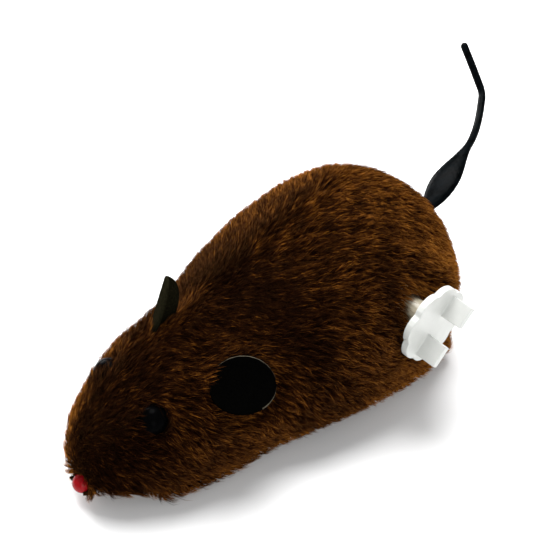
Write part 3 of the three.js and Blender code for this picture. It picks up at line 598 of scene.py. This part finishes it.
def painted_light_and_tone_of(points, normal):
    """Painted light and shade on the coat, over a broad random drift of its tone: dark on the
    muzzle and in the waist, light on the rump.
    """
    x, y = points[:, 0] - BODY_MIDDLE.x / MM, points[:, 1] - BODY_MIDDLE.y / MM
    # Painted light and shade along the body: the muzzle darker, partly its own tone and partly
    # painted shade; painted shade in the waist's crease behind the ears; painted light on the rump.
    steps = np.interp(y, [-44, -36, -28, -20, -12, -7, -3, 1, 6, 18, 30, 44],
                      [-1.9, -1.9, -1.3, -0.95, -1.0, -1.2, -2.0, -1.4, -0.4, 0.0, 1.0, 1.3])
    # Painted rim light on the right flank, and painted light on the left flank.
    right_side_rim_light = 2.0 * np.clip(-2 * normal[:, 0] - 0.5, 0, 1)
    left_side_painted_light = np.interp(y, [-25, -5], [0.4, 1.2]) * np.clip(2 * normal[:, 0] - 0.6, 0, 1)
    # Painted light low on the coat near the belly, strongest towards the muzzle, where the floor's
    # shadow falls.
    low = np.clip(1.2 - (points[:, 2] - BELLY) / 5, 0, 1)
    hem_painted_light = np.interp(y, [-38, -20], [2.8, 1.2]) * low
    # Painted rim light on the cheek that faces ahead and to the right.
    ahead_right = np.clip(-1.32 * normal[:, 0] - 1.5 * normal[:, 1] - 1.35, 0, 1)
    cheek_painted_rim_light = 3.5 * ahead_right * (y < -15)
    # Painted light round the nose bead.
    from_nose = np.linalg.norm(points - np.array(centre("nose_bead") / MM), axis=1)
    nose_painted_light = 2.0 * np.exp(-(from_nose / 4.5) ** 2)
    # Painted shadow in a ring round the key's disc, on the left side.
    from_key = points - np.array(KEY_AXIS) / MM
    key_painted_shadow = np.exp(-((np.hypot(from_key[:, 1], from_key[:, 2]) - 8) / 1.8) ** 2) * (x > 10)
    painted_lights = right_side_rim_light + left_side_painted_light + hem_painted_light + cheek_painted_rim_light + nose_painted_light
    return steps + painted_lights - 1.3 * key_painted_shadow + 0.45 * drift(points, 22, 16)


def folds_of(points, way, reach):
    """How far the body has fallen away under the end of each tuft."""
    rows = len(surface)
    faces = [
        (i * COLUMNS + j, i * COLUMNS + (j + 1) % COLUMNS,
         (i + 1) * COLUMNS + (j + 1) % COLUMNS, (i + 1) * COLUMNS + j)
        for i in range(rows - 1) for j in range(COLUMNS)
    ]
    skin = BVHTree.FromPolygons([Vector(p) for p in surface.reshape(-1, 3)], faces)
    ends = points + way * reach[:, None]
    found = [skin.find_nearest(Vector(p))[0] for p in ends]
    return ends - np.array([tuple(p) for p in found])


def strands():
    """Every strand's points at the shares of its length, and the tone it starts from."""
    rng = np.random.default_rng(7)
    roots, normal = scatter(STRANDS, rng)
    tufts, tuft_normal = scatter(TUFTS, rng)
    tree = KDTree(TUFTS)
    for i, p in enumerate(tufts):
        tree.insert(p, i)
    tree.balance()
    nearest = np.array([tree.find(p)[1] for p in roots])

    turn = rng.normal(0, 0.17, (TUFTS, 1))
    way = lay_of(tufts, tuft_normal)
    way = way * np.cos(turn) + np.cross(tuft_normal, way) * np.sin(turn)
    from_nose = np.linalg.norm(tufts - np.array(centre("nose_bead") / MM), axis=1)
    short = 1 - 0.55 * np.exp(-(from_nose / 6) ** 2)
    from_key = tufts - np.array(KEY_AXIS) / MM
    off_axis_squared = from_key[:, 1] ** 2 + from_key[:, 2] ** 2
    deep = 0.55 * np.exp(-(off_axis_squared / 7 ** 2)) * (from_key[:, 0] > 0)
    rise = PILE * (1 + deep) * (0.97 + 0.06 * drift(tufts, 5, 13) + rng.normal(0, 0.07, TUFTS))
    reach = STRAND_RUN * short * (1 + rng.normal(0, 0.12, TUFTS))
    fold = folds_of(tufts, way, reach)
    # Each tuft's tone takes the painted light and shade over the body, plus random tone.
    tuft_tone = (painted_light_and_tone_of(tufts, tuft_normal) + 0.45 * drift(tufts, 2.4, 15)
                 + rng.normal(0, 0.65, TUFTS))

    n, w = unit(0.5 * normal + 0.5 * tuft_normal[nearest]), way[nearest]
    height = rise[nearest][:, None] * (1 + 0.07 * rng.normal(0, 1, (STRANDS, 1)))
    length = reach[nearest][:, None] * (1 + 0.10 * rng.normal(0, 1, (STRANDS, 1)))
    apart = roots - tufts[nearest]
    pull = rng.uniform(0.35, 0.8, (STRANDS, 1))
    stray = rng.random(STRANDS) < STRAYS
    pull[stray] = 0
    height[stray] *= 1.15
    length[stray] *= STRAY_RUN / STRAND_RUN
    side = np.cross(n, w)
    wave = rng.normal(0, 0.14, (STRANDS, 1)) + 0.2 * rng.normal(0, 1, (TUFTS, 1))[nearest]

    def at(t):
        lift = height * (1 - (1 - t) ** 1.9)
        run = length * t ** 1.2
        sway = wave * np.sin(math.pi * t * 1.15)
        return (roots - n * PILE + n * lift + w * run - fold[nearest] * t ** 2
                - apart * pull * t ** 1.2 + side * sway)

    shares = (*STRAND_RINGS, 1.0)
    lines = np.stack([at(t) for t in shares], axis=1)
    tone = tuft_tone[nearest] + rng.normal(0, 0.85, STRANDS)
    return roots, normal, lines, tone


def free_share(solid, line):
    """The share of a strand's length up to where it meets a solid piece, 0 if it starts inside."""
    points = [Vector(p) * MM for p in line]
    for k in range(len(points) - 1):
        step = points[k + 1] - points[k]
        hit = solid.ray_cast(points[k], step.normalized(), step.length + 0.1 * MM)
        if hit[0]:
            starts_inside = hit[1].dot(step) > 0
            reached = k + 0.85 * min(hit[3] / step.length, 1)
            return 0 if starts_inside else reached / (len(points) - 1)
    return 1


def pressed(lines):
    """The lines, pressed flat behind all that the key's disc sweeps as it turns."""
    off_axis = np.linalg.norm(lines[..., 1:] - np.array(KEY_AXIS)[1:] / MM, axis=-1)
    under = (off_axis < KEY_REACH + PRESS_MARGIN) & (lines[..., 0] > 0)
    flat = lines.copy()
    limit = DISC_BACK - PRESS_GAP
    flat[..., 0] = np.where(under, np.minimum(lines[..., 0], limit), lines[..., 0])
    return flat


def clear_of_parts(roots, normal, lines):
    """The share of each strand that stays. One that meets a piece rides over it or is cut."""
    keep = np.ones(len(roots))
    outside = ("eye_left", "eye_right", "nose_bead", "ear_left", "ear_right", "winding_key", "tail")
    solid = tree_of(*outside, "base_plate")
    lines[:] = pressed(lines)
    near = np.zeros(len(roots), bool)
    for name in outside:
        low, high = (np.array(corner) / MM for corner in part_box(name))
        near |= ((roots > low - 5) & (roots < high + 5)).all(1)
    rise = np.array((*STRAND_RINGS, 1.0))[:, None] ** 0.8
    for i in np.flatnonzero(near):
        keep[i] = free_share(solid, lines[i])
        for lift in LIFTS:
            if 0 < keep[i] < 1:
                over = pressed(lines[i] + normal[i] * rise * lift)
                if free_share(solid, over) == 1:
                    lines[i], keep[i] = over, 1
    key = roots - np.array(KEY_AXIS) / MM
    off_axis = np.hypot(key[:, 1], key[:, 2])
    ahead = (key[:, 2] - key[:, 1]) / np.maximum(off_axis, 1e-6)
    keep[(key[:, 0] > 0) & (off_axis < HUB_RADIUS + 0.25)] = 0
    keep[(key[:, 0] > 0) & (off_axis < 8.8) & (ahead > 0.2)] *= 0.85
    below = np.flatnonzero(roots[:, 2] < BELLY + OPENING_HEIGHT)
    for i in below:
        if over_plate(roots[i], 1.0) or over_plate(lines[i, -1], 0.2):
            keep[i] = 0
    return keep


def add_fur():
    roots, normal, lines, tone = strands()
    keep = clear_of_parts(roots, normal, lines)
    lines[..., 2] = np.maximum(lines[..., 2], FLOOR_GAP)
    materials = fur_materials()
    x, y = roots[:, 0] - BODY_MIDDLE.x / MM, roots[:, 1] - BODY_MIDDLE.y / MM
    spans = {"muzzle": (-60, -35), "cheek_painted_rim_light": (-35, -26), "head": (-26, -17), "neck": (-17, -8),
             "waist": (-8, 2), "back": (2, 12), "haunch": (12, 22), "rump": (22, 31),
             "seat": (31, 39), "tail_end": (39, 60)}
    for part, (start, end) in spans.items():
        for side, sign in (("left", 1), ("right", -1)):
            here = (y >= start) & (y < end) & (x * sign >= 0)
            chosen = np.flatnonzero((keep > SHORTEST) & here)
            piece = fur_piece(f"fur_{part}_{side}", lines[chosen], keep[chosen], tone[chosen])
            for material in materials:
                piece.data.materials.append(material)
            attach(piece, "body")


def fur_piece(name, lines, keep, tone):
    """A mesh of tapered strands. Each has a ring of points at every share but the last, its tip."""
    count, rings = len(lines), len(STRAND_RINGS)
    shares = np.array((*STRAND_RINGS, 1.0))
    wanted = shares[None, :] * keep[:, None]
    path = np.empty_like(lines)
    for s in range(rings + 1):
        k = np.clip(np.searchsorted(shares, wanted[:, s], side="right") - 1, 0, rings - 1)
        t = ((wanted[:, s] - shares[k]) / (shares[k + 1] - shares[k]))[:, None]
        rows = np.arange(count)
        path[:, s] = lines[rows, k] * (1 - t) + lines[rows, k + 1] * t
    ahead = unit(np.gradient(path, axis=1))
    across = unit(np.cross(ahead, np.array([0.31, 0.17, 0.94])))
    over = np.cross(ahead, across)
    taper = (1 - shares[:rings] ** 1.5 * 0.75) * STRAND_RADIUS
    turns = 2 * math.pi * np.arange(STRAND_SIDES) / STRAND_SIDES
    ring = (path[:, :rings, None]
            + (across[:, :rings, None] * np.cos(turns)[:, None]
               + over[:, :rings, None] * np.sin(turns)[:, None]) * taper[None, :, None, None])
    per = rings * STRAND_SIDES + 1
    points = np.empty((count, per, 3))
    points[:, :-1] = ring.reshape(count, -1, 3)
    points[:, -1] = path[:, rings]

    quads, ends, quad_ring = [], [], []
    for r in range(rings - 1):
        for s in range(STRAND_SIDES):
            t = (s + 1) % STRAND_SIDES
            quads.append((r * STRAND_SIDES + s, r * STRAND_SIDES + t,
                          (r + 1) * STRAND_SIDES + t, (r + 1) * STRAND_SIDES + s))
            quad_ring.append(r)
    last = (rings - 1) * STRAND_SIDES
    for s in range(STRAND_SIDES):
        ends.append((last + s, last + (s + 1) % STRAND_SIDES, per - 1))
    cap = tuple(range(STRAND_SIDES))[::-1]
    first = (np.arange(count) * per)[:, None]
    loops = np.concatenate([
        (first[:, :, None] + np.array(quads)[None]).reshape(count, -1),
        (first[:, :, None] + np.array(ends)[None]).reshape(count, -1),
        first + np.array(cap)[None],
    ], axis=1).ravel()
    sizes = np.tile([4] * len(quads) + [3] * len(ends) + [3], count)
    starts = np.concatenate([[0], np.cumsum(sizes)[:-1]])

    mesh = bpy.data.meshes.new(name)
    mesh.vertices.add(count * per)
    mesh.vertices.foreach_set("co", (points * MM).ravel())
    mesh.loops.add(len(loops))
    mesh.loops.foreach_set("vertex_index", loops)
    mesh.polygons.add(len(sizes))
    mesh.polygons.foreach_set("loop_start", starts)
    bright = np.random.default_rng(count).random(count) < BRIGHT_SHARE
    base = np.clip(np.round(1.2 + 0.75 * tone) + bright, 0, 4).astype(int)
    step = np.array(quad_ring + [rings - 1] * len(ends) + [0])
    # A strand steps up in tone from root to tip; its darker root and lower rings are painted shade
    # down in the pile, and the root ring is held darkest.
    slots = np.clip(base[:, None] + step[None] - 1, 0, len(FUR_TONES) - 1)
    slots[:, step == 0] = np.minimum(slots[:, step == 0], 1)
    mesh.polygons.foreach_set("material_index", slots.ravel())
    mesh.update(calc_edges=True)
    mesh.shade_smooth()
    piece = bpy.data.objects.new(name, mesh)
    scene.collection.objects.link(piece)
    return piece


# ---- Pieces of the frame that stay as they are ----------------------------------------------


def dress(name, material, levels):
    """Gives a CAD node its material, and rounds its facets if levels says so."""
    node = nodes[name]
    node.data.materials.clear()
    node.data.materials.append(material)
    if levels:
        weld = node.modifiers.new("weld", "WELD")
        weld.merge_threshold = 0.002 * MM
        smooth = node.modifiers.new("smooth", "SUBSURF")
        smooth.levels = smooth.render_levels = levels


def soften(name, grain):
    """Gives a moulded piece small round edges: a fine remesh, of the grain in mm, smoothed."""
    fine = nodes[name].modifiers.new("fine", "REMESH")
    fine.mode = "VOXEL"
    fine.voxel_size = grain * MM
    fine.use_smooth_shade = True
    smooth = nodes[name].modifiers.new("round", "SMOOTH")
    smooth.factor = 0.5
    smooth.iterations = 5


def highlight_ear_edge(name, material):
    """Paints a highlight, a paler felt, on the edge round the back half of an ear."""
    mesh = nodes[name].data
    mesh.materials.append(material)
    upward = (p.normal * p.area for p in mesh.polygons if p.normal.z > 0.5)
    face = sum(upward, Vector()).normalized()
    middle = centre(name)
    for polygon in mesh.polygons:
        if abs(polygon.normal.dot(face)) < 0.5 and polygon.center.y > middle.y - 1 * MM:
            polygon.material_index = 1


def dress_frame():
    felt = felt_material("black_felt", (0.0003, 0.0003, 0.0003), (0.0008, 0.0008, 0.0007),
                         (0.0020, 0.0018, 0.0015))
    # Painted light: the right ear gets a lighter, browner copy of the black felt, for the light
    # that falls on it.
    lit_felt = felt_material("painted_lit_felt", (0.003, 0.003, 0.0015), (0.010, 0.009, 0.0045),
                         (0.035, 0.028, 0.014))
    # Painted highlight: a pale felt for the near ear's back edge.
    cut = felt_material("painted_edge_highlight", (0.03, 0.027, 0.02), (0.08, 0.07, 0.05), (0.16, 0.14, 0.10))
    black = bead_material("black_bead", (0.0004, 0.0004, 0.0004), (0.0012, 0.0012, 0.0014),
                          0.02)
    red = bead_material("red_bead", (0.19, 0.002, 0.004), (0.31, 0.004, 0.008), 0.35)
    white = moulded("white_plastic", (0.53, 0.54, 0.515), (0.60, 0.61, 0.585), 0.36)
    # The key's third colour is painted shadow on its hub, where it sits down in the fur.
    key = key_plastic("key_plastic", (0.53, 0.54, 0.515), (0.60, 0.61, 0.585),
                      (0.34, 0.30, 0.22))
    natural = moulded("natural_plastic", (0.60, 0.58, 0.50), (0.70, 0.68, 0.60), 0.42)
    grey = moulded("grey_plastic", (0.016, 0.016, 0.018), (0.030, 0.030, 0.033), 0.5, 0.18)
    steel = metal("drawn_steel", (0.45, 0.46, 0.48), (0.66, 0.67, 0.68), 0.3)
    blued = metal("spring_steel", (0.10, 0.13, 0.18), (0.28, 0.31, 0.36), 0.3)
    rubber, wadding, vinyl = rubber_material(), wadding_material(), tail_material()
    plan = {
        felt: ["ear_left"],
        lit_felt: ["ear_right"],
        black: ["eye_left", "eye_right"],
        red: ["nose_bead"],
        key: ["winding_key"],
        white: ["great_wheel", "idler_gear", "axle_pinion", "drive_wheel_left",
                "drive_wheel_right"],
        natural: ["eye_washer_left", "eye_washer_right", "motor_case", "motor_case_plate"],
        grey: ["front_wheel", "base_plate"],
        steel: ["winding_arbor", "idler_pin", "drive_axle", "front_axle", "case_screw_1",
                "case_screw_2", "case_screw_3", "plate_screw_1", "plate_screw_2"],
        blued: ["mainspring"],
        rubber: ["drive_tyre_left", "drive_tyre_right"],
        wadding: ["head_stuffing", "rump_stuffing"],
        vinyl: ["tail"],
    }
    rounded = {"ear_left": 2, "ear_right": 2, "eye_left": 1, "eye_right": 1, "nose_bead": 1,
               "tail": 2}
    for material, names in plan.items():
        for name in names:
            dress(name, material, rounded.get(name, 0))
    fill_out = nodes["tail"].modifiers.new("fill_out", "DISPLACE")
    fill_out.strength = 0.08 * MM
    fill_out.mid_level = 0
    soften("winding_key", 0.14)
    highlight_ear_edge("ear_left", cut)


add_camera()
add_studio()
add_backing()
add_fur()
dress_frame()
